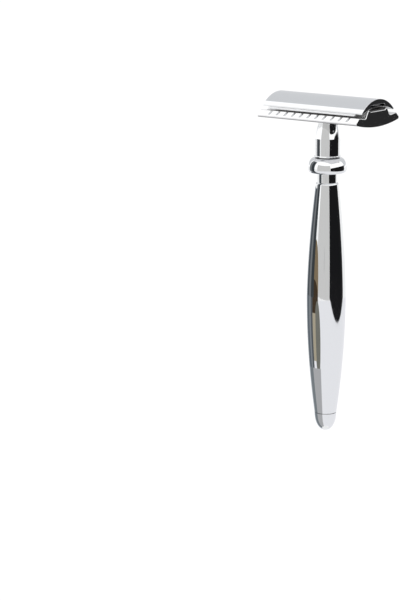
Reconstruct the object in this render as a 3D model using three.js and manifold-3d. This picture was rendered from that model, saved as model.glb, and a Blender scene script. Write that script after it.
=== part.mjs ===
// A double-edge safety razor: a three-piece head that clamps a bent blade, on a long turned handle.
// Millimetres, +Z up. The origin is on the handle's axis at the collar's underside, where a stand's
// hook carries the razor. +X runs along the blade, and +Y and -Y are the two shaving sides.
import * as THREE from "three";
import { mergeVertices } from "three/addons/utils/BufferGeometryUtils.js";
import Module from "manifold-3d";

const wasm = await Module();
wasm.setup();

// Head. Heights named ..._H are measured from the level HEAD_Z, close to the bars' lower edges.
const HEAD_Z = 19.85;
const HEAD_LENGTH = 43;
const PLATE_HALF_WIDTH = 12.95;
const PLATE_SAG = 1.8; // how far the plate's rounded underside hangs below that level
const BAR_LOWER_EDGE_H = -0.22;
const BAR_LOWER_INSET = 0.1; // from the tip back to the underside's edge
const BAR_TIP_R = 0.7;
const BAR_TIP_H = 0.45;
const BAR_TOP_H = 2.15;
const BAR_TOP_Y = 11.35;
const BAR_TOP_WIDTH = 0.5;
const BAR_CHAMFER = 0.28;
const VALLEY_H = 1.75;
const VALLEY_Y = 7.9;
const WALL_FILLET_R = 1.1;
const RIDGE_H = 4.42; // the two ridges that carry the blade
const RIDGE_Y = 5.45;
const RIDGE_R = 0.6;
const CHANNEL_H = 3.85;
const CHANNEL_HALF_WIDTH = 4.3;
const CHANNEL_CORNER = 0.5;
const SEAT_RECESS_H = -1.3; // shallow round recess that centres the neck
const SEAT_RECESS_R = 3.5;

const CAP_CROWN_H = 7.9;
const CAP_HALF_WIDTH = 9.6;
const CAP_EDGE_H = 3.85;
const CAP_CEILING_H = 6.05;
const CAP_HOLLOW_HALF_WIDTH = 4.2;
const CAP_HOLLOW_CORNER_R = 0.6;
const CAP_EDGE_CHAMFER = 0.18;

// Blade: a standard 22 mm wide strip, bent along its length by the cap.
const BLADE_LENGTH = 42.8;
const BLADE_WIDTH = 22;
const BLADE_THICKNESS = 0.1;
const BLADE_BEND_R = 23.7;
const BLADE_CENTRE_H = 5.2;
const BLADE_EDGE_LENGTH = 37.4;
const BLADE_TAB_HALF_WIDTH = 6.6;
const BLADE_SLOT_HALF_LENGTH = 16.6;
const BLADE_SLOT_HALF_WIDTH = 1.3;
const BLADE_CENTRE_HOLE_R = 3.1;
const BLADE_PIN_HOLE_R = 1.9;
const BLADE_GRIND_WIDTH = 0.8;
const CAP_TO_BLADE = 0.05;
const CUT_DEPTH = 12; // long enough for a cutter to pass right through the blade or the plate

// Scallops that let the lather through each safety bar.
const SCALLOPS = 11;
const SCALLOP_PITCH = 3.35;
const SCALLOP_R = 1.5;
const SCALLOP_SEGMENTS = 16;
const SCALLOP_CUT_LENGTH = 7;
const SCALLOP_OUTER = [12.95, 0.75]; // y and height where a groove's floor leaves the bar's face
const SCALLOP_INNER = [10.85, 1.95]; // and where it runs out over the bar's top

// Screw joint: M5 x 0.8, six turns engaged.
const STUD_R = 2.42;
const PLATE_BORE_R = 2.6;
const NECK_BORE_R = 2.5;
const THREAD_LENGTH = 4.8;
const THREAD_LEAD_IN = 0.4;
const NECK_BORE_DEPTH = 5.9;
const PIN_R = 1.45;
const PIN_HOLE_R = 1.55;
const PIN_CHAMFER = 0.3;
const PIN_X = 14.8;
const PIN_END_H = -1.0;

// Handle, from its top down.
const SEAT_GAP = 0.03;
const NECK_TOP_Z = HEAD_Z + SEAT_RECESS_H - SEAT_GAP;
const NECK_TOP_R = 3.1;
const NECK_R = 4.58;
const NECK_SHOULDER_Z = 12.3;
const CONE_BULGE = 0.12;
const CONE_STEPS = 8;
const NECK_FOOT_R = 4.75;
const NECK_FOOT_HEIGHT = 0.55;
const NECK_WASHER_THICKNESS = 0.3;
const NECK_WASHER_R = 4.45;
const END_WASHER_THICKNESS = 0.15;
const END_WASHER_R = 3.9;
const COLLAR_HEIGHT = 5.35;
const COLLAR_R = 7.05;
const COLLAR_TOP_R = 4.7;
const COLLAR_LAND_R = 5.8;
const COLLAR_BELLY_Z = 1.5;
const COUNTERBORE_R = 3.75;
const COUNTERBORE_DEPTH = 0.4;
const WAIST_R = 3.6;
const WAIST_BOTTOM_Z = -3.6;
const GRIP_TOP_Z = -4.4;
const GRIP_TOP_R = 4.2;
const GRIP_BELLY_Z = -45.5;
const GRIP_BELLY_R = 7.04;
const GRIP_END_Z = -88.45;
const GRIP_END_R = 4.03;
const UPPER_TAPER_POWER = 1.66;
const LOWER_TAPER_POWER = 1.97;
const END_CAP_DOME_Z = -87.8; // level of the end dome's widest circle
const END_CAP_DOME_R = 4.05;
const END_CAP_BOTTOM_Z = -95.4;
const END_CAP_FULLNESS = 2.25; // 2 would make the dome an ellipse, and more makes it blunter

// Tie rod: M4, pulls the neck, the collar, the grip and the end cap together.
const ROD_R = 2.0;
const ROD_SOCKET_R = 2.05;
const ROD_BORE_R = 2.4;
const ROD_TOP_Z = 10.4;
const ROD_BOTTOM_Z = -92.4;
const SOCKET_END_GAP = 0.4;

const ROUND_SEGMENTS = 48;
const SMALL_SEGMENTS = 24;
const GRIP_STEPS = 16;
const DOME_STEPS = 12;

const material = (color, roughness, metalness) =>
  new THREE.MeshStandardMaterial({ color, roughness, metalness });
const CHROME = material(0xd6d8dc, 0.06, 1);
const BLADE_STEEL = material(0xb9bdc2, 0.22, 1);
const ROD_STEEL = material(0x8f9296, 0.35, 1);
const NYLON = material(0x3c3d40, 0.6, 0);

// Points of an elliptical arc in the profile plane, from one angle to another, in degrees.
function arc([cx, cy], rx, ry, from, to, steps) {
  const points = [];
  for (let i = 0; i <= steps; i++) {
    const a = THREE.MathUtils.degToRad(from + ((to - from) * i) / steps);
    points.push([cx + rx * Math.cos(a), cy + ry * Math.sin(a)]);
  }
  return points;
}

// A closed outline from its right half, which runs anticlockwise from one axis point to the other.
function mirrored(half) {
  const left = half
    .slice(1, -1)
    .reverse()
    .map(([y, h]) => [-y, h]);
  return [...half, ...left];
}

// A bar of constant section along X: the outline is in (Y, height), its middle at x = 0.
function alongX(outline, length) {
  const shape = new THREE.Shape(outline.map(([y, h]) => new THREE.Vector2(y, h + HEAD_Z)));
  const bar = new THREE.ExtrudeGeometry(shape, { depth: length, bevelEnabled: false });
  bar.translate(0, 0, -length / 2);
  return bar.applyMatrix4(
    new THREE.Matrix4().makeBasis(
      new THREE.Vector3(0, 1, 0),
      new THREE.Vector3(0, 0, 1),
      new THREE.Vector3(1, 0, 0),
    ),
  );
}

// A turned piece about Z, from a profile of [radius, z] points.
function turned(profile, segments = ROUND_SEGMENTS) {
  const points = profile.map(([r, z]) => new THREE.Vector2(r, z));
  return new THREE.LatheGeometry(points, segments).rotateX(Math.PI / 2);
}

// A turned tube: the profile runs once round the wall's section and closes on itself.
const turnedTube = (profile, segments) => turned([...profile, profile[0]], segments);

const rod = (radius, bottom, top, segments = SMALL_SEGMENTS) =>
  turned([[0, bottom], [radius, bottom], [radius, top], [0, top]], segments);

function solid(geometry) {
  const bare = geometry.clone();
  bare.deleteAttribute("normal");
  bare.deleteAttribute("uv");
  const { attributes, index } = mergeVertices(bare, 1e-4);
  return new wasm.Manifold(
    new wasm.Mesh({
      numProp: 3,
      vertProperties: attributes.position.array,
      triVerts: new Uint32Array(index.array),
    }),
  );
}

function geometryOf(body) {
  const { vertProperties, triVerts } = body.getMesh();
  return new THREE.BufferGeometry()
    .setAttribute("position", new THREE.BufferAttribute(vertProperties, 3))
    .setIndex(new THREE.BufferAttribute(triVerts, 1));
}

const cut = (geometry, cutters) =>
  geometryOf(cutters.reduce((body, cutter) => body.subtract(solid(cutter)), solid(geometry)));

// Height on the circle that the bent blade's middle surface follows, offset outwards by some amount.
function bendHeight(y, offset) {
  const centre = BLADE_CENTRE_H - BLADE_BEND_R;
  return centre + Math.sqrt((BLADE_BEND_R + offset) ** 2 - y ** 2);
}

// Points on that circle between two distances from the middle plane.
function bendArc(from, to, offset, steps) {
  const points = [];
  for (let i = 0; i <= steps; i++) {
    const y = from + ((to - from) * i) / steps;
    points.push([y, bendHeight(y, offset)]);
  }
  return points;
}

function topCap() {
  const rise = CAP_CROWN_H - CAP_EDGE_H;
  const radius = (CAP_HALF_WIDTH ** 2 + rise ** 2) / (2 * rise);
  const edgeAngle = THREE.MathUtils.radToDeg(Math.acos(CAP_HALF_WIDTH / radius));
  const offset = BLADE_THICKNESS / 2 + CAP_TO_BLADE;
  const landEnd = CAP_HALF_WIDTH - CAP_EDGE_CHAMFER;
  const corner = [CAP_HOLLOW_HALF_WIDTH - CAP_HOLLOW_CORNER_R, CAP_CEILING_H - CAP_HOLLOW_CORNER_R];
  const half = [
    [0, CAP_CEILING_H],
    ...arc(corner, CAP_HOLLOW_CORNER_R, CAP_HOLLOW_CORNER_R, 90, 0, 4),
    ...bendArc(CAP_HOLLOW_HALF_WIDTH, landEnd, offset, 8),
    [CAP_HALF_WIDTH, bendHeight(landEnd, offset) + CAP_EDGE_CHAMFER],
    ...arc([0, CAP_CROWN_H - radius], radius, radius, edgeAngle, 90, 14),
  ];
  return alongX(mirrored(half), HEAD_LENGTH);
}

function blade() {
  const half = BLADE_THICKNESS / 2;
  const edgeAngle = BLADE_WIDTH / 2 / BLADE_BEND_R;
  const edgeY = BLADE_BEND_R * Math.sin(edgeAngle);
  const grindY = edgeY - BLADE_GRIND_WIDTH; // where the ground edge starts
  const section = mirrored([
    ...bendArc(0, grindY, -half, 10),
    [edgeY, bendHeight(edgeY, 0)],
    ...bendArc(grindY, 0, half, 10),
  ]);
  const middleZ = HEAD_Z + BLADE_CENTRE_H;
  const through = (radius, x) =>
    rod(radius, middleZ - CUT_DEPTH, middleZ + CUT_DEPTH).translate(x, 0, 0);
  const slotHalf = BLADE_SLOT_HALF_LENGTH - BLADE_SLOT_HALF_WIDTH;
  const slot = new THREE.BoxGeometry(2 * slotHalf, 2 * BLADE_SLOT_HALF_WIDTH, CUT_DEPTH);
  const cutters = [slot.translate(0, 0, middleZ), through(BLADE_CENTRE_HOLE_R, 0)];
  for (const side of [-1, 1]) {
    cutters.push(through(BLADE_SLOT_HALF_WIDTH, side * slotHalf));
    cutters.push(through(BLADE_PIN_HOLE_R, side * PIN_X));
  }
  const notch = (BLADE_LENGTH - BLADE_EDGE_LENGTH) / 2;
  for (const sx of [-1, 1]) {
    for (const sy of [-1, 1]) {
      const corner = new THREE.BoxGeometry(2 * notch, BLADE_WIDTH, CUT_DEPTH);
      const x = sx * (BLADE_EDGE_LENGTH / 2 + notch);
      const y = sy * (BLADE_TAB_HALF_WIDTH + BLADE_WIDTH / 2);
      cutters.push(corner.translate(x, y, middleZ));
    }
  }
  return cut(alongX(section, BLADE_LENGTH), cutters);
}

// One scallop's cutter: a cylinder that slopes up from the bar's face into the valley.
function scallopCutter(x, side) {
  const [outerY, outerH] = SCALLOP_OUTER;
  const [innerY, innerH] = SCALLOP_INNER;
  const along = new THREE.Vector3(0, side * (innerY - outerY), innerH - outerH).normalize();
  const above = new THREE.Vector3(0, side * along.z, Math.abs(along.y));
  const floor = new THREE.Vector3(x, (side * (outerY + innerY)) / 2, HEAD_Z + (outerH + innerH) / 2);
  const middle = floor.addScaledVector(above, SCALLOP_R);
  const cutter = new THREE.CylinderGeometry(SCALLOP_R, SCALLOP_R, SCALLOP_CUT_LENGTH, SCALLOP_SEGMENTS);
  const turn = new THREE.Quaternion().setFromUnitVectors(new THREE.Vector3(0, 1, 0), along);
  return cutter.applyQuaternion(turn).translate(middle.x, middle.y, middle.z);
}

function basePlate() {
  const rise = PLATE_SAG + BAR_LOWER_EDGE_H;
  const radius = (PLATE_HALF_WIDTH ** 2 + rise ** 2) / (2 * rise);
  const sweep = THREE.MathUtils.radToDeg(Math.asin((PLATE_HALF_WIDTH - BAR_LOWER_INSET) / radius));
  const tip = [PLATE_HALF_WIDTH - BAR_TIP_R, BAR_TIP_H];
  const valley = [VALLEY_Y, VALLEY_H + WALL_FILLET_R];
  const ridge = [RIDGE_Y, RIDGE_H - RIDGE_R];
  const half = [
    ...arc([0, radius - PLATE_SAG], radius, radius, -90, -90 + sweep, 10),
    ...arc(tip, BAR_TIP_R, BAR_TIP_R, -15, 40, 3),
    [BAR_TOP_Y + BAR_CHAMFER, BAR_TOP_H - BAR_CHAMFER],
    [BAR_TOP_Y, BAR_TOP_H],
    [BAR_TOP_Y - BAR_TOP_WIDTH, BAR_TOP_H],
    ...arc(valley, WALL_FILLET_R, WALL_FILLET_R, -80, -170, 6),
    ...arc(ridge, RIDGE_R, RIDGE_R, 20, 120, 5),
    [CHANNEL_HALF_WIDTH, CHANNEL_H + CHANNEL_CORNER / 3],
    [CHANNEL_HALF_WIDTH - CHANNEL_CORNER, CHANNEL_H],
    [0, CHANNEL_H],
  ];
  const hole = (r, x) => rod(r, HEAD_Z - CUT_DEPTH, HEAD_Z + CUT_DEPTH).translate(x, 0, 0);
  const cutters = [
    hole(PLATE_BORE_R, 0),
    hole(PIN_HOLE_R, -PIN_X),
    hole(PIN_HOLE_R, PIN_X),
    rod(SEAT_RECESS_R, HEAD_Z - CUT_DEPTH, HEAD_Z + SEAT_RECESS_H, ROUND_SEGMENTS),
  ];
  for (let i = 0; i < SCALLOPS; i++) {
    const x = (i - (SCALLOPS - 1) / 2) * SCALLOP_PITCH;
    cutters.push(scallopCutter(x, 1), scallopCutter(x, -1));
  }
  return cut(alongX(mirrored(half), HEAD_LENGTH), cutters);
}

function capStud() {
  const bottom = NECK_TOP_Z - THREAD_LENGTH - THREAD_LEAD_IN;
  return turned([
    [0, bottom],
    [STUD_R - THREAD_LEAD_IN, bottom],
    [STUD_R, bottom + THREAD_LEAD_IN],
    [STUD_R, HEAD_Z + CAP_CEILING_H],
    [0, HEAD_Z + CAP_CEILING_H],
  ], SMALL_SEGMENTS);
}

function locatingPin(x) {
  const bottom = HEAD_Z + PIN_END_H;
  return turned([
    [0, bottom],
    [PIN_R - PIN_CHAMFER, bottom],
    [PIN_R, bottom + PIN_CHAMFER],
    [PIN_R, HEAD_Z + CAP_CEILING_H],
    [0, HEAD_Z + CAP_CEILING_H],
  ], SMALL_SEGMENTS).translate(x, 0, 0);
}

function neck() {
  const bottom = COLLAR_HEIGHT + NECK_WASHER_THICKNESS;
  const cone = [];
  for (let i = 1; i <= CONE_STEPS; i++) {
    const t = i / CONE_STEPS;
    const bulge = CONE_BULGE * Math.sin(Math.PI * t);
    const r = NECK_R + (NECK_TOP_R - NECK_R) * t + bulge;
    cone.push([r, NECK_SHOULDER_Z + (NECK_TOP_Z - NECK_SHOULDER_Z) * t]);
  }
  return turned([
    [0, ROD_TOP_Z + SOCKET_END_GAP],
    [ROD_SOCKET_R, ROD_TOP_Z + SOCKET_END_GAP],
    [ROD_SOCKET_R, bottom],
    [NECK_FOOT_R, bottom],
    [NECK_FOOT_R, bottom + NECK_FOOT_HEIGHT / 2],
    [NECK_R, bottom + NECK_FOOT_HEIGHT],
    [NECK_R, NECK_SHOULDER_Z],
    ...cone,
    [NECK_BORE_R, NECK_TOP_Z],
    [NECK_BORE_R, NECK_TOP_Z - NECK_BORE_DEPTH],
    [0, NECK_TOP_Z - NECK_BORE_DEPTH],
  ]);
}

function collar() {
  const upper = [COLLAR_TOP_R, COLLAR_BELLY_Z];
  const lower = [COLLAR_LAND_R, COLLAR_BELLY_Z];
  const upperHeight = COLLAR_HEIGHT - COLLAR_BELLY_Z;
  return turnedTube([
    [ROD_BORE_R, COUNTERBORE_DEPTH],
    [COUNTERBORE_R, COUNTERBORE_DEPTH],
    [COUNTERBORE_R, 0],
    ...arc(lower, COLLAR_R - COLLAR_LAND_R, COLLAR_BELLY_Z, -90, 0, 6),
    ...arc(upper, COLLAR_R - COLLAR_TOP_R, upperHeight, 0, 90, 8).slice(1),
    [ROD_BORE_R, COLLAR_HEIGHT],
  ]);
}

// The grip's outside radius: two power curves that meet at the belly.
function gripRadius(z) {
  if (z > GRIP_BELLY_Z) {
    const t = (z - GRIP_BELLY_Z) / (GRIP_TOP_Z - GRIP_BELLY_Z);
    return GRIP_BELLY_R - (GRIP_BELLY_R - GRIP_TOP_R) * t ** UPPER_TAPER_POWER;
  }
  const t = (z - GRIP_BELLY_Z) / (GRIP_END_Z - GRIP_BELLY_Z);
  return GRIP_BELLY_R - (GRIP_BELLY_R - GRIP_END_R) * t ** LOWER_TAPER_POWER;
}

function grip() {
  const side = [];
  for (let i = 0; i <= 2 * GRIP_STEPS; i++) {
    const z = GRIP_END_Z + ((GRIP_TOP_Z - GRIP_END_Z) * i) / (2 * GRIP_STEPS);
    side.push([gripRadius(z), z]);
  }
  return turnedTube([
    [ROD_BORE_R, GRIP_END_Z],
    ...side,
    ...arc([WAIST_R, GRIP_TOP_Z], GRIP_TOP_R - WAIST_R, WAIST_BOTTOM_Z - GRIP_TOP_Z, 0, 90, 3).slice(1),
    [WAIST_R, COUNTERBORE_DEPTH],
    [ROD_BORE_R, COUNTERBORE_DEPTH],
  ]);
}

function endCap() {
  const top = GRIP_END_Z - END_WASHER_THICKNESS;
  const height = END_CAP_DOME_Z - END_CAP_BOTTOM_Z;
  const power = 2 / END_CAP_FULLNESS;
  const start = Math.asin(((END_CAP_DOME_Z - top) / height) ** (1 / power));
  const dome = [[0, END_CAP_BOTTOM_Z]];
  for (let i = 1; i <= DOME_STEPS; i++) {
    const a = Math.PI / 2 + ((start - Math.PI / 2) * i) / DOME_STEPS;
    dome.push([END_CAP_DOME_R * Math.cos(a) ** power, END_CAP_DOME_Z - height * Math.sin(a) ** power]);
  }
  return turned([
    ...dome,
    [ROD_SOCKET_R, top],
    [ROD_SOCKET_R, ROD_BOTTOM_Z - SOCKET_END_GAP],
    [0, ROD_BOTTOM_Z - SOCKET_END_GAP],
  ]);
}

const washer = (radius, bottom, top) =>
  turnedTube([
    [ROD_BORE_R, bottom],
    [radius, bottom],
    [radius, top],
    [ROD_BORE_R, top],
  ]);

const group = new THREE.Group();

function add(name, geometry, finish) {
  const mesh = new THREE.Mesh(geometry, finish);
  mesh.name = name;
  group.add(mesh);
}

add("top_cap", topCap(), CHROME);
add("cap_stud", capStud(), CHROME);
add("locating_pin_left", locatingPin(-PIN_X), CHROME);
add("locating_pin_right", locatingPin(PIN_X), CHROME);
add("blade", blade(), BLADE_STEEL);
add("base_plate", basePlate(), CHROME);
add("neck", neck(), CHROME);
add("neck_washer", washer(NECK_WASHER_R, COLLAR_HEIGHT, COLLAR_HEIGHT + NECK_WASHER_THICKNESS), NYLON);
add("collar", collar(), CHROME);
add("grip", grip(), CHROME);
add("tie_rod", rod(ROD_R, ROD_BOTTOM_Z, ROD_TOP_Z), ROD_STEEL);
add("end_washer", washer(END_WASHER_R, GRIP_END_Z - END_WASHER_THICKNESS, GRIP_END_Z), NYLON);
add("end_cap", endCap(), CHROME);

export default group;
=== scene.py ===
"""The looks of a double-edge safety razor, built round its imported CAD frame.

Shapes are worked out in millimetres and become metres when a piece is finished. The origin is on
the handle's axis at the collar's underside, +X runs along the blade, and +Z is up.
"""
import math

import bmesh
import bpy
from mathutils import Matrix, Vector
from mathutils.geometry import tessellate_polygon


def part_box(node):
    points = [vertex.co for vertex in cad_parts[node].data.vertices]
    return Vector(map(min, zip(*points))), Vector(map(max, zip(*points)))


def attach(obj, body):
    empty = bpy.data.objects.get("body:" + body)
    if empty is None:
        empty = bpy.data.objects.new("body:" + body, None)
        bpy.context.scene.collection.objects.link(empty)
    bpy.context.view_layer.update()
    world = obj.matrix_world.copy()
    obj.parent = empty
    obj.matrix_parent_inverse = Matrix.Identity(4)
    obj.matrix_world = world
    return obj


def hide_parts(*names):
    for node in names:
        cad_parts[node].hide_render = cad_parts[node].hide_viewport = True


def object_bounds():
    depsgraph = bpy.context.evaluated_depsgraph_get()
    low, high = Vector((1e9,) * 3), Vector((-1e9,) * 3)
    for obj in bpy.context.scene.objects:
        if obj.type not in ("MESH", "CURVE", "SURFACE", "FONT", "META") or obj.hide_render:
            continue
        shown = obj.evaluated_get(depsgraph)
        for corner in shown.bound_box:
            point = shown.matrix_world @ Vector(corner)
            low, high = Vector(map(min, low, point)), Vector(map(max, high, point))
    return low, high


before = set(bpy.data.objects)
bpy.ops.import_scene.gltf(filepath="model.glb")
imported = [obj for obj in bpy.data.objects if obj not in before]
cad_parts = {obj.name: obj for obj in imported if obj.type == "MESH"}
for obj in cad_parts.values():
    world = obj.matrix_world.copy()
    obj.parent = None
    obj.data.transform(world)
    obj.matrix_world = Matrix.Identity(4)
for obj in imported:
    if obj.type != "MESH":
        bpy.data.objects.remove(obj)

cad_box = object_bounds()
scene = bpy.context.scene
MM = 0.001


def corners(node):
    """The lowest and the highest corner of a CAD node, in millimetres."""
    low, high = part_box(node)
    return low / MM, high / MM


# ---------------------------------------------------------------- sizes from the frame
CAP_LOW, CAP_HIGH = corners("top_cap")
PLATE_LOW, PLATE_HIGH = corners("base_plate")
BLADE_LOW, BLADE_HIGH = corners("blade")
STUD_LOW, STUD_HIGH = corners("cap_stud")
PIN_LOW, PIN_HIGH = corners("locating_pin_right")
NECK_LOW, NECK_HIGH = corners("neck")
NECK_WASHER_LOW, NECK_WASHER_HIGH = corners("neck_washer")
COLLAR_LOW, COLLAR_HIGH = corners("collar")
GRIP_LOW, GRIP_HIGH = corners("grip")
ROD_LOW, ROD_HIGH = corners("tie_rod")
END_WASHER_LOW, END_WASHER_HIGH = corners("end_washer")
END_CAP_LOW, END_CAP_HIGH = corners("end_cap")

# ---------------------------------------------------------------- head: ..._H is measured from HEAD_Z
PLATE_SAG = 1.8
HEAD_Z = PLATE_LOW.z + PLATE_SAG
HEAD_LENGTH = CAP_HIGH.x - CAP_LOW.x
PLATE_HALF_WIDTH = PLATE_HIGH.y
BAR_LOWER_EDGE_H = -0.22
BAR_LOWER_EDGE_R = 0.3
BAR_LOWER_INSET = 0.1
BAR_TIP_R = 0.7
BAR_TIP_H = 0.45
BAR_TOP_H = 2.15
BAR_TOP_Y = 11.35
BAR_TOP_WIDTH = 0.5
BAR_EDGE_R = 0.3
VALLEY_H = 1.75
VALLEY_Y = 7.9
WALL_FILLET_R = 1.1
RIDGE_H = 4.42
RIDGE_Y = 5.45
RIDGE_R = 0.6
CHANNEL_H = 3.85
CHANNEL_HALF_WIDTH = 4.3
CHANNEL_EDGE_R = 0.35
SEAT_RECESS_H = -1.3
SEAT_RECESS_R = 3.5
PLATE_BORE_R = 2.6
PIN_HOLE_R = 1.55
HOLE_CHAMFER = 0.12

SCALLOPS = 11
SCALLOP_PITCH = 3.35
SCALLOP_R = 1.5
SCALLOP_OUTER = Vector((12.95, 0.75))  # distance from the middle and height of a groove's floor at the bar
SCALLOP_INNER = Vector((10.85, 1.95))  # and where the floor runs out over the bar's top
SCALLOP_EDGE = 0.2
STATIONS_PER_SCALLOP = 26

CAP_HALF_WIDTH = CAP_HIGH.y
CAP_EDGE_H = 3.85
CAP_CROWN_H = CAP_HIGH.z - HEAD_Z
CAP_CEILING_H = PIN_HIGH.z - HEAD_Z
CAP_HOLLOW_HALF_WIDTH = 4.2
CAP_HOLLOW_CORNER_R = 0.6
CAP_EDGE_R = 0.2
CAP_END_R = 0.08
PLATE_END_R = 0.28
PLATE_UNDERSIDE_SHARE = 0.2  # how much of that rounding the plate's underside has
PLATE_STEP = 0.35  # the longest step between two points of the plate's outline
STATION_REACH = 20  # the cap and the blade have sections this far each way from the middle
CAP_STATION_STEP = 2.0
BLADE_STATION_STEP = 1.0

BLADE_LENGTH = BLADE_HIGH.x - BLADE_LOW.x
BLADE_WIDTH = 22.0
BLADE_THICKNESS = 0.1
BLADE_BEND_R = 23.7
BLADE_CENTRE_H = 5.2
BLADE_EDGE_LENGTH = 37.4
BLADE_TAB_HALF_WIDTH = 6.6
BLADE_NOTCH_R = 0.6
BLADE_SLOT_HALF_LENGTH = 16.6
BLADE_SLOT_HALF_WIDTH = 1.3
BLADE_CENTRE_HOLE_R = 3.1
BLADE_PIN_HOLE_R = 1.9
BLADE_GRIND_WIDTH = 0.8
BLADE_HONE_WIDTH = 0.15
BLADE_HONE_THICKNESS = 0.03
CAP_TO_BLADE = 0.05

STUD_R = STUD_HIGH.x
STUD_PITCH = 0.8
STUD_PLAIN = 1.2  # unthreaded stretch under the cap
PIN_X = (PIN_LOW.x + PIN_HIGH.x) / 2
PIN_R = (PIN_HIGH.x - PIN_LOW.x) / 2
PIN_CHAMFER = 0.3

# ---------------------------------------------------------------- handle
NECK_R = 4.58
NECK_TOP_R = 3.1
NECK_SHOULDER_Z = 12.3
NECK_SHOULDER_R = 0.25
CONE_BULGE = 0.12
NECK_FOOT_R = NECK_HIGH.x
NECK_FOOT_HEIGHT = 0.55
NECK_FOOT_FILLET_R = 0.15
CONE_STEPS = 24
NECK_BORE_R = 2.5
NECK_BORE_DEPTH = 5.9
COLLAR_R = COLLAR_HIGH.x
COLLAR_TOP_R = 4.7
COLLAR_LAND_R = 5.8
COLLAR_BELLY_Z = 1.5
COLLAR_FLAT = 0.2  # a point this far inside the edge of each end face keeps the face flat
COUNTERBORE_R = 3.75
COUNTERBORE_DEPTH = 0.4
WAIST_R = 3.6
WAIST_BOTTOM_Z = -3.6
WAIST_FILLET_R = 0.3
GRIP_TOP_Z = -4.4
GRIP_TOP_R = 4.2
GRIP_BELLY_Z = -45.5
GRIP_BELLY_R = GRIP_HIGH.x
GRIP_END_R = 4.03
UPPER_TAPER_POWER = 1.66
LOWER_TAPER_POWER = 1.97
GRIP_STEP = 0.5
END_CAP_DOME_Z = -87.8
END_CAP_DOME_R = END_CAP_HIGH.x
END_CAP_FULLNESS = 2.25  # 2 would make the dome an ellipse, and more makes it blunter
ROD_R = ROD_HIGH.x
ROD_PITCH = 0.7
ROD_THREAD_LENGTH = 6.0
ROD_SOCKET_R = 2.05
ROD_BORE_R = 2.4
SOCKET_END_GAP = 0.4
TURNED_EDGE_R = 0.08
THREAD_LEAD_IN = 0.4
THREAD_DEPTH = 0.6134  # in pitches
THREAD_CREST = 0.125  # half of the crest's flat, in half pitches
THREAD_FLANK = 0.625  # one flank, in half pitches
THREAD_RUN_OUT = 0.5  # in pitches
THREAD_ROWS = 16  # rows of points in one pitch
ROD_STEP = 2.0

ROUND_SEGMENTS = 160
DOME_STEPS = 48
SMALL_SEGMENTS = 64
FILLET_STEPS = 5
FILLET_SHARE = 0.45  # a fillet takes no more than this share of either side
SUPPORT = 0.03  # a loop this far from a fillet keeps the flat beside it flat
LEAST_MITRE = 0.5  # an inset corner moves no further than its distance over this
ON_AXIS = 1e-6  # a smaller radius counts as a point on the axis
MERGE_DISTANCE = 1e-5
CUTTER_PAST = 2.0  # how far the plate's cutters run past its faces
SHARP_ANGLE = math.radians(32)

# ---------------------------------------------------------------- finishes
PLATE_BRIGHTNESS = 0.82
VALLEY_ROUGHNESS = 0.45
DULL_FADE = 0.1  # how near its borders the valleys' dull finish stops blending
DULL_END_GAP = 0.4  # it starts to fade this far before the rounding of the end faces
DULL_DEPTH = 0.3  # there is none of it this far below the valleys' floor
LOWER_EDGE_PAINTED_SHADE = -0.5  # painted shade: change in the chrome's brightness along the bars' lower edges
SHADE_FADE = 0.06
SHADE_START = 0.6  # distances in from the bars' outside between which that shade comes in
SHADE_END = 0.4
BLADE_BODY_AND_SHADE = 0.5  # how bright the strip is between its ground edges; partly its satin finish, partly painted shade under the cap
BLADE_GROUND = 0.95  # and along them
BLADE_GROUND_START = 0.6  # distances in from the cap's edge between which it brightens
BLADE_GROUND_END = 0.2
NOISE_LOW = 0.3  # the middle of a noise pattern's range
NOISE_HIGH = 0.7

# ---------------------------------------------------------------- camera and studio
# Angles are in degrees and lengths in metres, but the lens and the sensor are in millimetres.
CAMERA_AZIMUTH = 35.72
CAMERA_ELEVATION = 7.38
CAMERA_DISTANCE = 0.7251
CAMERA_PAN = 3.37
CAMERA_TILT = 5.149
CAMERA_ROLL = 0.26
LENS = 121.89
SENSOR = 36.0
FLOOR_DROP = 0.035  # the razor hangs this far above the floor
FLOOR_Z = cad_box[0][2] - FLOOR_DROP
FLOOR_SIZE = 4.0
CARD_LIFT = 0.0005
CARD_STEP = 5.0  # degrees between the uprights of a curved card
STAND_DISTANCE = 0.0125
# What stands close on the handle's left, seen only in its reflections: azimuths, levels and colour. They
# glow as painted reflections, each grey a lit or shaded side of the stand or the brush.
STAND_STRIPES = (
    ("post_edge", -100, -83, -0.046, -0.006, (0.42, 0.45, 0.48)),
    ("post_left", -83, -74, -0.046, -0.006, (0.15, 0.17, 0.19)),
    ("post_left_core", -74, -60, -0.046, -0.006, (0.060, 0.070, 0.082)),
    ("post_middle", -60, -43, -0.046, 0.0112, (0.19, 0.20, 0.21)),
    ("post_core", -43, -24, -0.046, 0.0112, (0.046, 0.054, 0.060)),
    ("wire_edge", -100, -78, -0.074, -0.046, (0.32, 0.35, 0.38)),
    ("wire_left", -78, -58, -0.074, -0.046, (0.12, 0.14, 0.16)),
    ("wire_middle", -58, -43, -0.074, -0.046, (0.24, 0.26, 0.28)),
    ("wire_core", -43, -31, -0.074, -0.046, (0.10, 0.11, 0.12)),
    ("brush_pale", -31, -14, -0.071, -0.052, (0.44, 0.39, 0.29)),
    ("foot_edge", -100, -80, -0.12, -0.074, (0.42, 0.46, 0.50)),
    ("foot_left", -80, -44, -0.12, -0.074, (0.21, 0.235, 0.25)),
    ("foot_right", -44, 9, -0.12, -0.074, (0.46, 0.46, 0.47)),
)
STUDIO_LIGHT = 1.3


# ================================================================ outlines
def arc(centre, rx, ry, start, end, steps):
    """Points of an elliptical arc, from one angle to another in degrees."""
    points = []
    for i in range(steps + 1):
        a = math.radians(start + (end - start) * i / steps)
        points.append((centre[0] + rx * math.cos(a), centre[1] + ry * math.sin(a)))
    return points


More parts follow.
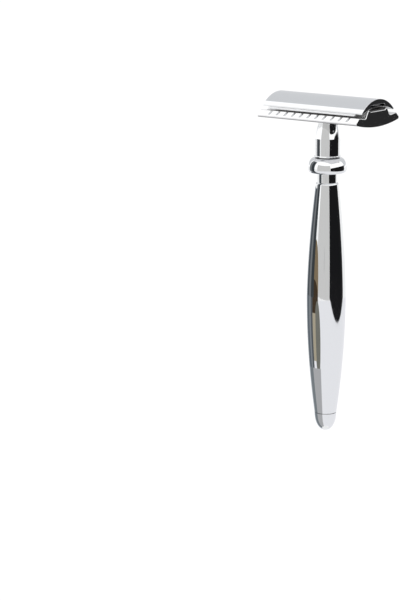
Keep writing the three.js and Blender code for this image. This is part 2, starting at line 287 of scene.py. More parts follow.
def fillet(before, corner, after, radius):
    """The points that replace a corner with an arc, with a support point on each long straight side."""
    back = before - corner
    on = after - corner
    half_angle = back.angle(on) / 2
    reach = min(radius / math.tan(half_angle), FILLET_SHARE * back.length, FILLET_SHARE * on.length)
    radius = reach * math.tan(half_angle)
    back_length, on_length = back.length, on.length
    back.normalize()
    on.normalize()
    centre = corner + (back + on).normalized() * radius / math.sin(half_angle)
    spoke = corner + back * reach - centre
    turn = -spoke.angle_signed(corner + on * reach - centre)
    points = [
        centre + Matrix.Rotation(turn * k / FILLET_STEPS, 2) @ spoke for k in range(FILLET_STEPS + 1)
    ]
    if back_length - reach > 3 * SUPPORT:
        points.insert(0, corner + back * (reach + SUPPORT))
    if on_length - reach > 3 * SUPPORT:
        points.append(corner + on * (reach + SUPPORT))
    return points


def outline(points, closed=False):
    """Fillets the points that carry a radius: (x, y) stays as it is, (x, y, radius) is rounded."""
    count = len(points)
    flat = [Vector(p[:2]) for p in points]
    made = []
    for i, point in enumerate(points):
        inside = closed or 0 < i < count - 1
        if len(point) == 3 and inside:
            made += fillet(flat[i - 1], flat[i], flat[(i + 1) % count], point[2])
        else:
            made.append(flat[i])
    return [(p.x, p.y) for p in made]


def mirrored(half):
    """A closed outline from its right half, which runs anticlockwise from one axis point to the other."""
    return half + [(-x, y) for x, y in reversed(half[1:-1])]


def inset(section, distance, share=None):
    """A closed anticlockwise outline moved inwards by a small distance; share(point) can reduce it."""
    count = len(section)
    moved = []
    for i, point in enumerate(section):
        here = Vector(point)
        before = (here - Vector(section[i - 1])).normalized()
        after = (Vector(section[(i + 1) % count]) - here).normalized()
        normal = Vector((-before.y, before.x))
        bisector = (normal + Vector((-after.y, after.x))).normalized()
        reach = distance * share(point) if share else distance
        moved.append(tuple(here + bisector * reach / max(bisector.dot(normal), LEAST_MITRE)))
    return moved


# ================================================================ meshes, in millimetres
def mesh_object(name, verts, faces):
    """A mesh with its faces outward, which booleans need."""
    mesh = bpy.data.meshes.new(name)
    mesh.from_pydata([tuple(v) for v in verts], [], faces)
    bm = bmesh.new()
    bm.from_mesh(mesh)
    bmesh.ops.recalc_face_normals(bm, faces=bm.faces)
    bm.to_mesh(mesh)
    bm.free()
    piece = bpy.data.objects.new(name, mesh)
    scene.collection.objects.link(piece)
    return piece


def ring_faces(first, second):
    """Faces between two rings of vertex numbers; a ring of one is a point on the axis."""
    count = max(len(first), len(second))
    faces = []
    for k in range(count):
        j = (k + 1) % count
        face = [first[k % len(first)], first[j % len(first)]]
        face += [second[j % len(second)], second[k % len(second)]]
        faces.append(list(dict.fromkeys(face)))
    return faces


def round_body(name, rows, segments, radius_at=None, closed=False):
    """A body round Z from (radius, z) rows. radius_at(angle, radius, z) may vary the radius."""
    verts, rings = [], []
    for radius, z in rows:
        if radius < ON_AXIS:
            rings.append([len(verts)])
            verts.append((0, 0, z))
            continue
        rings.append(list(range(len(verts), len(verts) + segments)))
        for k in range(segments):
            a = 2 * math.pi * k / segments
            r = radius_at(a, radius, z) if radius_at else radius
            verts.append((r * math.cos(a), r * math.sin(a), z))
    pairs = list(zip(rings, rings[1:]))
    if closed:
        pairs.append((rings[-1], rings[0]))
    faces = [face for first, second in pairs for face in ring_faces(first, second)]
    return mesh_object(name, verts, faces)


def bar(name, section, length, stations, end_radius, shape=None, share=None):
    """A bar along X, with rounded end edges if end_radius isn't 0.

    shape(x, point) may move a point, and share(point) may reduce the rounding there.
    """
    half = length / 2
    steps = [(half, 0.0)]
    if end_radius:
        angles = [math.pi / 2 * k / FILLET_STEPS for k in range(FILLET_STEPS + 1)]
        steps = [(half - end_radius - SUPPORT, 0.0)]
        steps += [(half - end_radius * (1 - math.sin(a)), end_radius * (1 - math.cos(a))) for a in angles]
        steps.append((half, end_radius + SUPPORT))
    sections = [(-x, d) for x, d in reversed(steps)]
    sections += [(x, 0.0) for x in stations]
    sections += steps
    verts, rings = [], []
    for x, shrink in sections:
        points = [shape(x, p) for p in section] if shape else section
        points = inset(points, shrink, share) if shrink else points
        rings.append(list(range(len(verts), len(verts) + len(points))))
        verts += [(x, y, HEAD_Z + h) for y, h in points]
    faces = [face for first, second in zip(rings, rings[1:]) for face in ring_faces(first, second)]
    for ring in (rings[0], rings[-1]):
        loop = [Vector(verts[i]) for i in ring]
        faces += [[ring[k] for k in triangle] for triangle in tessellate_polygon([loop])]
    return mesh_object(name, verts, faces)


def even(start, end, step):
    """Evenly spaced values from start to end, no further apart than step."""
    count = max(1, math.ceil((end - start) / step))
    return [start + (end - start) * i / count for i in range(count + 1)]


def cut(piece, cutters):
    """Takes the cutters out of the piece and removes them."""
    for cutter in cutters:
        modifier = piece.modifiers.new("cut", "BOOLEAN")
        modifier.operation = "DIFFERENCE"
        modifier.solver = "EXACT"
        modifier.object = cutter
    bpy.context.view_layer.update()
    evaluated = piece.evaluated_get(bpy.context.evaluated_depsgraph_get())
    mesh = bpy.data.meshes.new_from_object(evaluated)
    piece.modifiers.clear()
    piece.data = mesh
    for cutter in cutters:
        bpy.data.objects.remove(cutter)


def drill(radius, low, high, x=0.0, flare=0.0):
    """A round cutter from low to high; with a flare, it opens out in a chamfer at each end."""
    rows = [(radius, low), (radius, high)]
    if flare:
        wide = radius + flare + CUTTER_PAST
        rows = [(wide, low - CUTTER_PAST), (radius, low + flare)]
        rows += [(radius, high - flare), (wide, high + CUTTER_PAST)]
    rows = [(0, rows[0][1])] + rows + [(0, rows[-1][1])]
    cutter = round_body("cutter", rows, SMALL_SEGMENTS)
    cutter.data.transform(Matrix.Translation((x, 0, 0)))
    return cutter


def block(size, centre):
    """A box cutter."""
    cutter = mesh_object("cutter", *box_mesh(size))
    cutter.data.transform(Matrix.Translation(centre))
    return cutter


def box_mesh(size):
    """Vertices and outward faces of a box about the origin."""
    x, y, z = (s / 2 for s in size)
    verts = [(sx * x, sy * y, sz * z) for sz in (-1, 1) for sy in (-1, 1) for sx in (-1, 1)]
    faces = [(0, 2, 3, 1), (4, 5, 7, 6), (0, 1, 5, 4), (2, 6, 7, 3), (0, 4, 6, 2), (1, 3, 7, 5)]
    return verts, faces


def finish_piece(piece, body, node, material):
    """Metres, clean outward faces, smooth shading, and the piece's place in the frame."""
    bm = bmesh.new()
    bm.from_mesh(piece.data)
    bmesh.ops.remove_doubles(bm, verts=bm.verts, dist=MERGE_DISTANCE)
    bmesh.ops.recalc_face_normals(bm, faces=bm.faces)
    bmesh.ops.scale(bm, vec=(MM, MM, MM), verts=bm.verts)
    bm.to_mesh(piece.data)
    bm.free()
    for polygon in piece.data.polygons:
        polygon.use_smooth = True
    piece.data.set_sharp_from_angle(angle=SHARP_ANGLE)
    piece.data.materials.clear()
    piece.data.materials.append(material)
    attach(piece, body)
    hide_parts(node)
    return piece


# ================================================================ materials
def new_material(name, colour, metallic, roughness):
    """A Principled material, with its node tree and shader."""
    material = bpy.data.materials.new(name)
    material.use_nodes = True
    shader = material.node_tree.nodes["Principled BSDF"]
    shader.inputs["Base Color"].default_value = (*colour, 1)
    shader.inputs["Metallic"].default_value = metallic
    shader.inputs["Roughness"].default_value = roughness
    return material, material.node_tree, shader


def noise(tree, scale, detail=3.0, stretch=(1, 1, 1)):
    """A noise pattern in the part's own space: scale is in features per metre along each axis."""
    place = tree.nodes.new("ShaderNodeTexCoord")
    mapping = tree.nodes.new("ShaderNodeMapping")
    mapping.inputs["Scale"].default_value = stretch
    pattern = tree.nodes.new("ShaderNodeTexNoise")
    pattern.inputs["Scale"].default_value = scale
    pattern.inputs["Detail"].default_value = detail
    tree.links.new(place.outputs["Object"], mapping.inputs["Vector"])
    tree.links.new(mapping.outputs["Vector"], pattern.inputs["Vector"])
    return pattern.outputs["Fac"]


def spread(tree, value, low, high):
    """Maps the middle of a noise pattern's range to low..high."""
    node = tree.nodes.new("ShaderNodeMapRange")
    node.inputs["From Min"].default_value = NOISE_LOW
    node.inputs["From Max"].default_value = NOISE_HIGH
    node.inputs["To Min"].default_value = low
    node.inputs["To Max"].default_value = high
    tree.links.new(value, node.inputs["Value"])
    return node.outputs["Result"]


def bump(tree, height, depth, normal=None):
    """Bump of the given depth in metres, on top of another bump's normal if there is one."""
    node = tree.nodes.new("ShaderNodeBump")
    node.inputs["Distance"].default_value = depth
    tree.links.new(height, node.inputs["Height"])
    if normal:
        tree.links.new(normal, node.inputs["Normal"])
    return node.outputs["Normal"]


def arithmetic(tree, operation, *values):
    """A math node's result; each value is a number or another node's output."""
    node = tree.nodes.new("ShaderNodeMath")
    node.operation = operation
    for socket, value in zip(node.inputs, values):
        if isinstance(value, float):
            socket.default_value = value
        else:
            tree.links.new(value, socket)
    return node.outputs["Value"]


def across(tree, axis, start, end, inner, outer):
    """Blends from an inner to an outer value with the distance from a middle plane, in millimetres."""
    place = tree.nodes.new("ShaderNodeTexCoord")
    split = tree.nodes.new("ShaderNodeSeparateXYZ")
    node = tree.nodes.new("ShaderNodeMapRange")
    node.inputs["From Min"].default_value = start * MM
    node.inputs["From Max"].default_value = end * MM
    node.inputs["To Min"].default_value = inner
    node.inputs["To Max"].default_value = outer
    tree.links.new(place.outputs["Object"], split.inputs["Vector"])
    tree.links.new(arithmetic(tree, "ABSOLUTE", split.outputs[axis]), node.inputs["Value"])
    return node.outputs["Result"]


def chrome(name):
    """Bright chrome, with its node tree, shader and roughness pattern."""
    material, tree, shader = new_material(name, (0.81, 0.82, 0.83), metallic=1.0, roughness=0.05)
    haze = spread(tree, noise(tree, scale=160.0, detail=5.0), low=0.03, high=0.07)
    tree.links.new(haze, shader.inputs["Roughness"])
    waves = bump(tree, noise(tree, scale=260.0, detail=1.0), depth=1.2e-6)
    tree.links.new(waves, shader.inputs["Normal"])
    return material, tree, shader, haze


def plate_chrome():
    """Chrome that is duller in the valleys and on the walls, and darker along the bars' lower edges from
    painted shade.
    """
    material, tree, shader, haze = chrome("plate_chrome")
    inner_edge = BAR_TOP_Y - BAR_TOP_WIDTH
    end_face = HEAD_LENGTH / 2 - PLATE_END_R
    valley = HEAD_Z + VALLEY_H
    sideways = across(
        tree, "Y", inner_edge - DULL_FADE, inner_edge + DULL_FADE, inner=VALLEY_ROUGHNESS, outer=0.0
    )
    lengthways = across(tree, "X", end_face - DULL_END_GAP, end_face - DULL_FADE, inner=1.0, outer=0.0)
    upwards = across(tree, "Z", valley - DULL_DEPTH, valley - DULL_FADE, inner=0.0, outer=1.0)
    dull = arithmetic(tree, "MULTIPLY", arithmetic(tree, "MULTIPLY", sideways, lengthways), upwards)
    tree.links.new(arithmetic(tree, "ADD", haze, dull), shader.inputs["Roughness"])

    # painted shade: a darker strip of colour along the bars' lower edges
    edge = HEAD_Z + BAR_LOWER_EDGE_H + BAR_LOWER_EDGE_R
    low = across(tree, "Z", edge - SHADE_FADE, edge + SHADE_FADE, inner=1.0, outer=0.0)
    start, end = PLATE_HALF_WIDTH - SHADE_START, PLATE_HALF_WIDTH - SHADE_END
    outside = across(tree, "Y", start, end, inner=0.0, outer=1.0)
    shade = arithmetic(tree, "MULTIPLY", low, outside)
    colour = arithmetic(tree, "MULTIPLY_ADD", shade, LOWER_EDGE_PAINTED_SHADE, PLATE_BRIGHTNESS)
    tree.links.new(colour, shader.inputs["Base Color"])
    return material


def blade_steel():
    material, tree, shader = new_material("blade_steel", (0.88, 0.89, 0.90), metallic=1.0, roughness=0.35)
    # partly painted shade: the strip is darker where the cap covers it, besides its brighter ground edges
    start, end = CAP_HALF_WIDTH - BLADE_GROUND_START, CAP_HALF_WIDTH - BLADE_GROUND_END
    bright = across(tree, "Y", start, end, inner=BLADE_BODY_AND_SHADE, outer=BLADE_GROUND)
    tree.links.new(bright, shader.inputs["Base Color"])
    rolled = noise(tree, scale=4000.0, stretch=(0.02, 1, 1))
    tree.links.new(spread(tree, rolled, low=0.28, high=0.40), shader.inputs["Roughness"])
    tree.links.new(bump(tree, rolled, depth=1.5e-6), shader.inputs["Normal"])
    return material


def turned_steel():
    material, tree, shader = new_material("turned_steel", (0.45, 0.46, 0.47), metallic=1.0, roughness=0.35)
    rings = noise(tree, scale=6000.0, stretch=(0.05, 0.05, 1))
    tree.links.new(spread(tree, rings, low=0.25, high=0.42), shader.inputs["Roughness"])
    tree.links.new(bump(tree, rings, depth=3e-6), shader.inputs["Normal"])
    return material


def dark_nylon():
    material, tree, shader = new_material("dark_nylon", (0.045, 0.046, 0.05), metallic=0.0, roughness=0.5)
    grain = noise(tree, scale=3000.0, detail=4.0)
    tree.links.new(spread(tree, grain, low=0.42, high=0.6), shader.inputs["Roughness"])
    tree.links.new(bump(tree, grain, depth=6e-6), shader.inputs["Normal"])
    return material


CHROME = chrome("polished_chrome")[0]
PLATE_CHROME = plate_chrome()
BLADE_METAL = blade_steel()
ROD_METAL = turned_steel()
NYLON = dark_nylon()


# ================================================================ head
def bend_height(y, offset):
    """Height on the circle of the bent blade's middle surface, offset outwards."""
    return BLADE_CENTRE_H - BLADE_BEND_R + math.sqrt((BLADE_BEND_R + offset) ** 2 - y**2)


def bend_arc(start, end, offset, steps):
    """Points on that circle between two distances from the middle plane."""
    ys = [start + (end - start) * i / steps for i in range(steps + 1)]
    return [(y, bend_height(y, offset)) for y in ys]


def top_cap():
    rise = CAP_CROWN_H - CAP_EDGE_H
    radius = (CAP_HALF_WIDTH**2 + rise**2) / (2 * rise)
    edge_angle = math.degrees(math.acos(CAP_HALF_WIDTH / radius))
    offset = BLADE_THICKNESS / 2 + CAP_TO_BLADE
    hollow_edge = bend_arc(CAP_HOLLOW_HALF_WIDTH, CAP_HALF_WIDTH, offset, steps=24)
    crown = arc((0, CAP_CROWN_H - radius), radius, radius, start=edge_angle, end=90, steps=60)
    half = [(0, CAP_CEILING_H), (CAP_HOLLOW_HALF_WIDTH, CAP_CEILING_H, CAP_HOLLOW_CORNER_R)]
    half += [(*hollow_edge[0], CAP_EDGE_R / 2)] + hollow_edge[1:-1]
    half += [(CAP_HALF_WIDTH, bend_height(CAP_HALF_WIDTH, offset), CAP_EDGE_R)]
    half += crown
    section = mirrored(outline(half))
    stations = even(-STATION_REACH, STATION_REACH, CAP_STATION_STEP)
    return bar("cap_shell", section, HEAD_LENGTH, stations, CAP_END_R)


def cap_stud():
    bottom, top = STUD_LOW.z, STUD_HIGH.z
    return threaded_rod("cap_stud_threaded", STUD_R, STUD_PITCH, bottom, top, [(bottom, top - STUD_PLAIN)])


def locating_pin(name, x):
    rows = [
        (0, PIN_LOW.z),
        (PIN_R - PIN_CHAMFER, PIN_LOW.z, TURNED_EDGE_R),
        (PIN_R, PIN_LOW.z + PIN_CHAMFER, TURNED_EDGE_R),
        (PIN_R, PIN_HIGH.z),
        (0, PIN_HIGH.z),
    ]
    pin = round_body(name, outline(rows), SMALL_SEGMENTS)
    pin.data.transform(Matrix.Translation((x, 0, 0)))
    return pin


def blade():
    half = BLADE_THICKNESS / 2
    edge_y = BLADE_BEND_R * math.sin(BLADE_WIDTH / 2 / BLADE_BEND_R)
    grind_y = edge_y - BLADE_GRIND_WIDTH
    hone_y = edge_y - BLADE_HONE_WIDTH
    hone = BLADE_HONE_THICKNESS / 2
    section = mirrored(
        bend_arc(0, grind_y, -half, steps=40)
        + [(hone_y, bend_height(hone_y, -hone)), (edge_y, bend_height(edge_y, 0))]
        + [(hone_y, bend_height(hone_y, hone))]
        + bend_arc(grind_y, 0, half, steps=40)
    )
    stations = even(-STATION_REACH, STATION_REACH, BLADE_STATION_STEP)
    strip = bar("blade_strip", section, BLADE_LENGTH, stations, end_radius=0)
    middle = HEAD_Z + BLADE_CENTRE_H
    reach = 5.0
    slot_half = BLADE_SLOT_HALF_LENGTH - BLADE_SLOT_HALF_WIDTH
    cutters = [
        block((2 * slot_half, 2 * BLADE_SLOT_HALF_WIDTH, 2 * reach), (0, 0, middle)),
        drill(BLADE_CENTRE_HOLE_R, middle - reach, middle + reach),
    ]
    for side in (-1, 1):
        cutters.append(drill(BLADE_SLOT_HALF_WIDTH, middle - reach, middle + reach, side * slot_half))
        cutters.append(drill(BLADE_PIN_HOLE_R, middle - reach, middle + reach, side * PIN_X))
    cutters += [notch_cutter(sx, sy, middle, reach) for sx in (-1, 1) for sy in (-1, 1)]
    cut(strip, cutters)
    return strip


def notch_cutter(sx, sy, middle, reach):
    """The outside of one blade corner, with the notch's inner corner rounded."""
    x0, x1 = BLADE_EDGE_LENGTH / 2, BLADE_LENGTH
    y0, y1 = BLADE_TAB_HALF_WIDTH, BLADE_WIDTH
    loop = outline([(x0, y0, BLADE_NOTCH_R), (x1, y0), (x1, y1), (x0, y1)], closed=True)
    loop = [(sx * x, sy * y) for x, y in loop]
    count = len(loop)
    verts = [(x, y, middle - reach) for x, y in loop] + [(x, y, middle + reach) for x, y in loop]
    faces = ring_faces(list(range(count)), list(range(count, 2 * count)))
    faces += [list(range(count)), list(range(count, 2 * count))]
    return mesh_object("cutter", verts, faces)


def soft_min(a, b, width):
    """The smaller of two values, blended where they differ by less than width."""
    share = min(max(0.5 + 0.5 * (b - a) / width, 0.0), 1.0)
    return b + (a - b) * share - width * share * (1 - share)


def scalloped(x, point):
    """Lowers a point of the plate's section onto the floor of the scallop at x."""
    y, h = point
    if abs(y) < VALLEY_Y:
        return point
    number = round(x / SCALLOP_PITCH)
    offset = x - number * SCALLOP_PITCH
    if abs(number) > SCALLOPS // 2 or abs(offset) >= SCALLOP_R:
        return point
    slope = (SCALLOP_INNER - SCALLOP_OUTER).normalized()
    above = Vector((slope.y, -slope.x))
    level = (Vector((abs(y), h)) - SCALLOP_OUTER).dot(above)
    floor = SCALLOP_R - math.sqrt(SCALLOP_R**2 - offset**2)
    drop = soft_min(level, floor, SCALLOP_EDGE) - level
    return (math.copysign(abs(y) + drop * above.x, y), h + drop * above.y)


def end_share(point):
    """The rounding of the plate's end edges is small below the bars' tips and full above them."""
    above = min(max((point[1] - BAR_TIP_H) / BAR_TIP_R, 0.0), 1.0)
    return PLATE_UNDERSIDE_SHARE + (1 - PLATE_UNDERSIDE_SHARE) * above


def base_plate():
    rise = PLATE_SAG + BAR_LOWER_EDGE_H
    radius = (PLATE_HALF_WIDTH**2 + rise**2) / (2 * rise)
    sweep = math.degrees(math.asin((PLATE_HALF_WIDTH - BAR_LOWER_INSET) / radius))
    tip = (PLATE_HALF_WIDTH - BAR_TIP_R, BAR_TIP_H)
    underside = arc((0, radius - PLATE_SAG), radius, radius, start=-90, end=-90 + sweep, steps=40)
    half = underside[:-1] + [(*underside[-1], BAR_LOWER_EDGE_R)]
    half += arc(tip, BAR_TIP_R, BAR_TIP_R, start=-15, end=50, steps=12)
    half += [(BAR_TOP_Y + BAR_EDGE_R / 2, BAR_TOP_H, BAR_EDGE_R)]
    half += [(BAR_TOP_Y - BAR_TOP_WIDTH, BAR_TOP_H, BAR_EDGE_R)]
    valley = (VALLEY_Y, VALLEY_H + WALL_FILLET_R)
    half += arc(valley, WALL_FILLET_R, WALL_FILLET_R, start=-84, end=-170, steps=10)
    half += arc((RIDGE_Y, RIDGE_H - RIDGE_R), RIDGE_R, RIDGE_R, start=10, end=130, steps=12)
    half += [(CHANNEL_HALF_WIDTH, CHANNEL_H, CHANNEL_EDGE_R)]
    half += [(0, CHANNEL_H)]
    reach = HEAD_LENGTH / 2 - 2 * PLATE_END_R
    stations = even(-reach, reach, SCALLOP_PITCH / STATIONS_PER_SCALLOP)
    section = mirrored(refined(outline(half), PLATE_STEP))
    plate = bar("plate_scalloped", section, HEAD_LENGTH, stations, PLATE_END_R, scalloped, end_share)
    bottom, top = PLATE_LOW.z, HEAD_Z + CHANNEL_H
    under, seat = bottom - CUTTER_PAST, HEAD_Z + SEAT_RECESS_H
    recess = [(0, under), (SEAT_RECESS_R, under), (SEAT_RECESS_R, seat), (0, seat)]
    cutters = [
        drill(PLATE_BORE_R, bottom, top, flare=HOLE_CHAMFER),
        drill(PIN_HOLE_R, bottom, top, -PIN_X, flare=HOLE_CHAMFER),
        drill(PIN_HOLE_R, bottom, top, PIN_X, flare=HOLE_CHAMFER),
        round_body("cutter", recess, ROUND_SEGMENTS),
    ]
    cut(plate, cutters)
    return plate


def refined(section, longest):
    """Adds points to an open outline until no step is longer than the given length."""
    made = [section[0]]
    for point in section[1:]:
        start, end = Vector(made[-1]), Vector(point)
        count = max(1, math.ceil((end - start).length / longest))
        made += [tuple(start.lerp(end, i / count)) for i in range(1, count + 1)]
    return made


# ================================================================ turned pieces
def threaded_rod(name, radius, pitch, bottom, top, threads):
    """A rod with right-hand V threads between the given levels and chamfered ends."""
    depth = THREAD_DEPTH * pitch

    def radius_at(angle, _, z):
        turn = (z / pitch - angle / (2 * math.pi)) % 1.0
        from_crest = abs(2 * turn - 1)
        tooth = min(max((from_crest - THREAD_CREST) / THREAD_FLANK, 0.0), 1.0)
        share = 0.0
        for low, high in threads:
            inside = min(z - low, high - z) / pitch + THREAD_RUN_OUT
            share = max(share, min(max(inside, 0.0), 1.0))
        from_end = min(z - bottom, top - z)
        return min(radius - depth * tooth * share, radius - THREAD_LEAD_IN + from_end)

    levels = {bottom, top}
    for low, high in threads:
        levels.update(even(max(low - pitch, bottom), min(high + pitch, top), pitch / THREAD_ROWS))
    levels.update(even(bottom, top, ROD_STEP))
    rows = [(0, bottom)] + [(radius, z) for z in sorted(levels)] + [(0, top)]
    return round_body(name, rows, SMALL_SEGMENTS, radius_at)


def neck():
    bottom, top = NECK_LOW.z, NECK_HIGH.z
    socket = ROD_HIGH.z + SOCKET_END_GAP
    cone = []
    for i in range(1, CONE_STEPS):
        t = i / CONE_STEPS
        r = NECK_R + (NECK_TOP_R - NECK_R) * t + CONE_BULGE * math.sin(math.pi * t)
        cone.append((r, NECK_SHOULDER_Z + (top - NECK_SHOULDER_Z) * t))
    rows = [(0, socket), (ROD_SOCKET_R, socket), (ROD_SOCKET_R, bottom, TURNED_EDGE_R)]
    rows += [(NECK_FOOT_R, bottom, TURNED_EDGE_R)]
    rows += [(NECK_FOOT_R, bottom + NECK_FOOT_HEIGHT / 2, NECK_FOOT_FILLET_R)]
    rows += [(NECK_R, bottom + NECK_FOOT_HEIGHT, NECK_FOOT_FILLET_R)]
    rows += [(NECK_R, NECK_SHOULDER_Z, NECK_SHOULDER_R)] + cone
    rows += [(NECK_TOP_R, top, TURNED_EDGE_R), (NECK_BORE_R, top, TURNED_EDGE_R)]
    rows += [(NECK_BORE_R, top - NECK_BORE_DEPTH), (0, top - NECK_BORE_DEPTH)]
    return round_body("neck_turned", outline(rows), ROUND_SEGMENTS)


def washer(name, low, high):
    radius = high.x
    rows = [(ROD_BORE_R, low.z), (radius, low.z, TURNED_EDGE_R)]
    rows += [(radius, high.z, TURNED_EDGE_R), (ROD_BORE_R, high.z)]
    return round_body(name, outline(rows), ROUND_SEGMENTS, closed=True)


def collar():
    upper_height = COLLAR_HIGH.z - COLLAR_BELLY_Z
    land, top = (COLLAR_LAND_R, COLLAR_BELLY_Z), (COLLAR_TOP_R, COLLAR_BELLY_Z)
    lower = arc(land, COLLAR_R - COLLAR_LAND_R, COLLAR_BELLY_Z, start=-90, end=0, steps=24)
    upper = arc(top, COLLAR_R - COLLAR_TOP_R, upper_height, start=0, end=90, steps=32)
    rows = [(ROD_BORE_R, COUNTERBORE_DEPTH), (COUNTERBORE_R, COUNTERBORE_DEPTH)]
    rows += [(COUNTERBORE_R, COLLAR_LOW.z, TURNED_EDGE_R), (COLLAR_LAND_R - COLLAR_FLAT, COLLAR_LOW.z)]
    rows += lower + upper[1:] + [(COLLAR_TOP_R - COLLAR_FLAT, COLLAR_HIGH.z)]
    rows += [(ROD_BORE_R, COLLAR_HIGH.z)]
    return round_body("collar_turned", outline(rows), ROUND_SEGMENTS, closed=True)


def grip_radius(z):
    """The grip's outside radius: two power curves that meet at the belly."""
    if z > GRIP_BELLY_Z:
        t = (z - GRIP_BELLY_Z) / (GRIP_TOP_Z - GRIP_BELLY_Z)
        return GRIP_BELLY_R - (GRIP_BELLY_R - GRIP_TOP_R) * t**UPPER_TAPER_POWER
    t = (z - GRIP_BELLY_Z) / (GRIP_LOW.z - GRIP_BELLY_Z)
    return GRIP_BELLY_R - (GRIP_BELLY_R - GRIP_END_R) * t**LOWER_TAPER_POWER


def grip():
    side = [(grip_radius(z), z) for z in even(GRIP_LOW.z, GRIP_TOP_Z, GRIP_STEP)]
    centre, rise = (WAIST_R, GRIP_TOP_Z), WAIST_BOTTOM_Z - GRIP_TOP_Z
    shoulder = arc(centre, GRIP_TOP_R - WAIST_R, rise, start=0, end=90, steps=10)
    rows = [(ROD_BORE_R, GRIP_LOW.z), (*side[0], TURNED_EDGE_R)] + side[1:-1] + shoulder[:-1]
    rows += [(*shoulder[-1], WAIST_FILLET_R)]
    rows += [(WAIST_R, GRIP_HIGH.z, TURNED_EDGE_R), (ROD_BORE_R, GRIP_HIGH.z)]
    return round_body("grip_turned", outline(rows), ROUND_SEGMENTS, closed=True)


def end_cap():
    top = END_CAP_HIGH.z
    height = END_CAP_DOME_Z - END_CAP_LOW.z
    power = 2 / END_CAP_FULLNESS
    start = math.asin(((END_CAP_DOME_Z - top) / height) ** (1 / power))
    dome = []
    for i in range(1, DOME_STEPS + 1):
        a = math.pi / 2 + (start - math.pi / 2) * i / DOME_STEPS
        level = END_CAP_DOME_Z - height * math.sin(a) ** power
        dome.append((END_CAP_DOME_R * math.cos(a) ** power, level))
    socket = ROD_LOW.z - SOCKET_END_GAP
    rows = [(0, END_CAP_LOW.z)] + dome[:-1] + [(*dome[-1], TURNED_EDGE_R)]
    rows += [(ROD_SOCKET_R, top), (ROD_SOCKET_R, socket), (0, socket)]
    return round_body("end_cap_turned", outline(rows), ROUND_SEGMENTS)


# ================================================================ assembly
finish_piece(top_cap(), "cap", "top_cap", CHROME)
finish_piece(cap_stud(), "cap", "cap_stud", CHROME)
finish_piece(locating_pin("pin_left_turned", -PIN_X), "cap", "locating_pin_left", CHROME)
finish_piece(locating_pin("pin_right_turned", PIN_X), "cap", "locating_pin_right", CHROME)
finish_piece(blade(), "blade", "blade", BLADE_METAL)
finish_piece(base_plate(), "base_plate", "base_plate", PLATE_CHROME)
finish_piece(neck(), "handle", "neck", CHROME)
finish_piece(
    washer("neck_washer_ring", NECK_WASHER_LOW, NECK_WASHER_HIGH),
    "handle", "neck_washer", NYLON,
)
finish_piece(collar(), "handle", "collar", CHROME)
finish_piece(grip(), "handle", "grip", CHROME)
finish_piece(
    threaded_rod(
        "tie_rod_threaded", ROD_R, ROD_PITCH, ROD_LOW.z, ROD_HIGH.z,
        [(ROD_LOW.z, ROD_LOW.z + ROD_THREAD_LENGTH), (ROD_HIGH.z - ROD_THREAD_LENGTH, ROD_HIGH.z)],
    ),
    "handle", "tie_rod", ROD_METAL,
)
finish_piece(
    washer("end_washer_ring", END_WASHER_LOW, END_WASHER_HIGH),
    "handle", "end_washer", NYLON,
)
finish_piece(end_cap(), "handle", "end_cap", CHROME)


# ================================================================ studio
def towards(azimuth):
    """The level direction at an azimuth in degrees: 0 is -Y, 90 is +X."""
    a = math.radians(azimuth)
    return Vector((math.sin(a), -math.cos(a), 0))


def reflector(name, verts, faces, colour):
    """A card that only shows in reflections."""
    card = mesh_object(name, verts, faces)
    material = bpy.data.materials.new(name)
    material.use_nodes = True
    tree = material.node_tree
    tree.nodes.clear()
    glow = tree.nodes.new("ShaderNodeEmission")
    glow.inputs["Color"].default_value = (*colour, 1)
    output = tree.nodes.new("ShaderNodeOutputMaterial")
    tree.links.new(glow.outputs["Emission"], output.inputs["Surface"])
    card.data.materials.append(material)
    card.visible_camera = False
    card.visible_diffuse = False
    card.visible_transmission = False
    card.visible_volume_scatter = False
    card.visible_shadow = False
    return card


def upright_card(name, foot, bottoms, top, colour):
    """An upright card over a line of points on the ground, with the level of its lower edge at each."""
    count = len(foot)
    verts = [(p.x, p.y, z) for p, z in zip(foot, bottoms)] + [(p.x, p.y, top) for p in foot]
    faces = [(k, k + 1, count + k + 1, count + k) for k in range(count - 1)]
    return reflector(name, verts, faces, colour)


def flat_card(name, azimuth, distance, left, right, bottom, top, colour):
    """A straight upright card, square to an azimuth; left and right are its ends in metres."""
    middle = towards(azimuth) * distance
    side = towards(azimuth + 90)
    foot = [middle - side * left, middle + side * right]
    return upright_card(name, foot, [bottom, bottom], top, colour)


def round_card(name, start, end, distance, bottom, top, colour, lift=0.0):
    """An upright card curved round the handle; its lower edge can lift towards the starting azimuth."""
    angles = even(start, end, CARD_STEP)
    foot = [towards(a) * distance for a in angles]
    bottoms = [bottom + lift * ((end - a) / (end - start)) ** 2 for a in angles]
    return upright_card(name, foot, bottoms, top, colour)


def oval_card(name, azimuth, distance, half_width, bottom, top, colour):
    """An upright oval card, square to an azimuth."""
    middle = towards(azimuth) * distance
    side = towards(azimuth + 90)
    verts = []
    centre = (0, (bottom + top) / 2)
    for along, level in arc(centre, half_width, (top - bottom) / 2, start=0, end=345, steps=23):
        verts.append((*(middle + side * along).xy, level))
    return reflector(name, verts, [list(range(len(verts)))], colour)


def ground_card(name, near, far, colour):
    """A ring on the floor round the handle's axis."""
    count = 48
    verts = []
    for distance in (near, far):
        for k in range(count):
            p = towards(360 * k / count) * distance
            verts.append((p.x, p.y, FLOOR_Z + CARD_LIFT))
    faces = ring_faces(list(range(count)), list(range(count, 2 * count)))
    return reflector(name, verts, faces, colour)


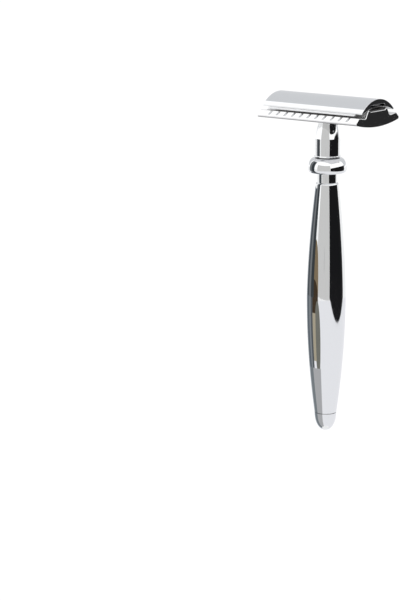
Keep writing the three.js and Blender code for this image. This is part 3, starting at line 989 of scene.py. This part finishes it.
def studio():
    signs = ((-1, -1), (1, -1), (1, 1), (-1, 1))
    verts = [(sx * FLOOR_SIZE, sy * FLOOR_SIZE, FLOOR_Z) for sx, sy in signs]
    floor = mesh_object("floor", verts, [(0, 1, 2, 3)])
    paper, _, _ = new_material("white_paper", (0.8, 0.8, 0.8), metallic=0.0, roughness=0.9)
    floor.data.materials.append(paper)

    world = bpy.data.worlds.new("studio")
    world.use_nodes = True
    sky = world.node_tree.nodes["Background"]
    sky.inputs["Color"].default_value = (1, 1, 1, 1)
    sky.inputs["Strength"].default_value = STUDIO_LIGHT
    scene.world = world
    scene.view_settings.view_transform = "Standard"

    flat_card(
        "black_right", azimuth=104, distance=0.275, left=0.328, right=0.170,
        bottom=FLOOR_Z, top=0.058, colour=(0.011, 0.011, 0.012),
    )
    flat_card(
        "dark_right", azimuth=104, distance=0.275, left=-0.170, right=0.284,
        bottom=FLOOR_Z, top=0.058, colour=(0.026, 0.026, 0.027),
    )
    round_card(
        "grey_front", start=-25, end=53, distance=0.399,
        bottom=FLOOR_Z, top=0.2, colour=(0.68, 0.675, 0.665), lift=0.012,
    )
    round_card(
        "grey_back", start=150, end=265.3, distance=0.6,
        bottom=0.02, top=1.3, colour=(0.72, 0.73, 0.75),
    )
    ground_card("grey_floor", near=0.02, far=0.39, colour=(0.93, 0.93, 0.96))
    # painted reflections: glowing stripes for the lit and shaded sides of the stand
    for name, start, end, bottom, top, colour in STAND_STRIPES:
        round_card(name, start, end, STAND_DISTANCE, bottom, top, colour)
    # painted reflections: glowing ovals that stand in for the brush beside the handle
    oval_card(
        "brush_hair", azimuth=-24, distance=STAND_DISTANCE + 0.0006, half_width=0.0052,
        bottom=-0.062, top=-0.024, colour=(0.24, 0.18, 0.11),
    )
    # painted shade: the darker oval is the brush's shaded lower part
    oval_card(
        "brush_painted_shade", azimuth=-24, distance=STAND_DISTANCE + 0.0004, half_width=0.0052,
        bottom=-0.056, top=-0.039, colour=(0.06, 0.04, 0.024),
    )
    oval_card(
        "brush_belly", azimuth=-5, distance=STAND_DISTANCE + 0.0003, half_width=0.0033,
        bottom=-0.078, top=-0.047, colour=(0.19, 0.19, 0.165),
    )
    flat_card(
        "dark_line", azimuth=21, distance=0.395, left=0.004, right=0.004,
        bottom=-0.078, top=-0.05, colour=(0.25, 0.25, 0.27),
    )


def camera():
    """The camera looks at the head, then turns left, down and a little round its own axis."""
    target = Vector((0, 0, HEAD_Z * MM))
    elevation = math.radians(CAMERA_ELEVATION)
    away = towards(CAMERA_AZIMUTH) * math.cos(elevation) + Vector((0, 0, math.sin(elevation)))
    forward = Matrix.Rotation(math.radians(CAMERA_PAN), 3, "Z") @ -away
    right = forward.cross(Vector((0, 0, 1))).normalized()
    forward = Matrix.Rotation(-math.radians(CAMERA_TILT), 3, right) @ forward
    roll = Matrix.Rotation(math.radians(CAMERA_ROLL), 3, forward)
    right, up = roll @ right, roll @ right.cross(forward)
    data = bpy.data.cameras.new("camera")
    data.lens = LENS
    data.sensor_width = SENSOR
    made = bpy.data.objects.new("camera", data)
    turned = Matrix((right, up, -forward)).transposed().to_4x4()
    made.matrix_world = Matrix.Translation(target + away * CAMERA_DISTANCE) @ turned
    scene.collection.objects.link(made)
    scene.camera = made


studio()
camera()
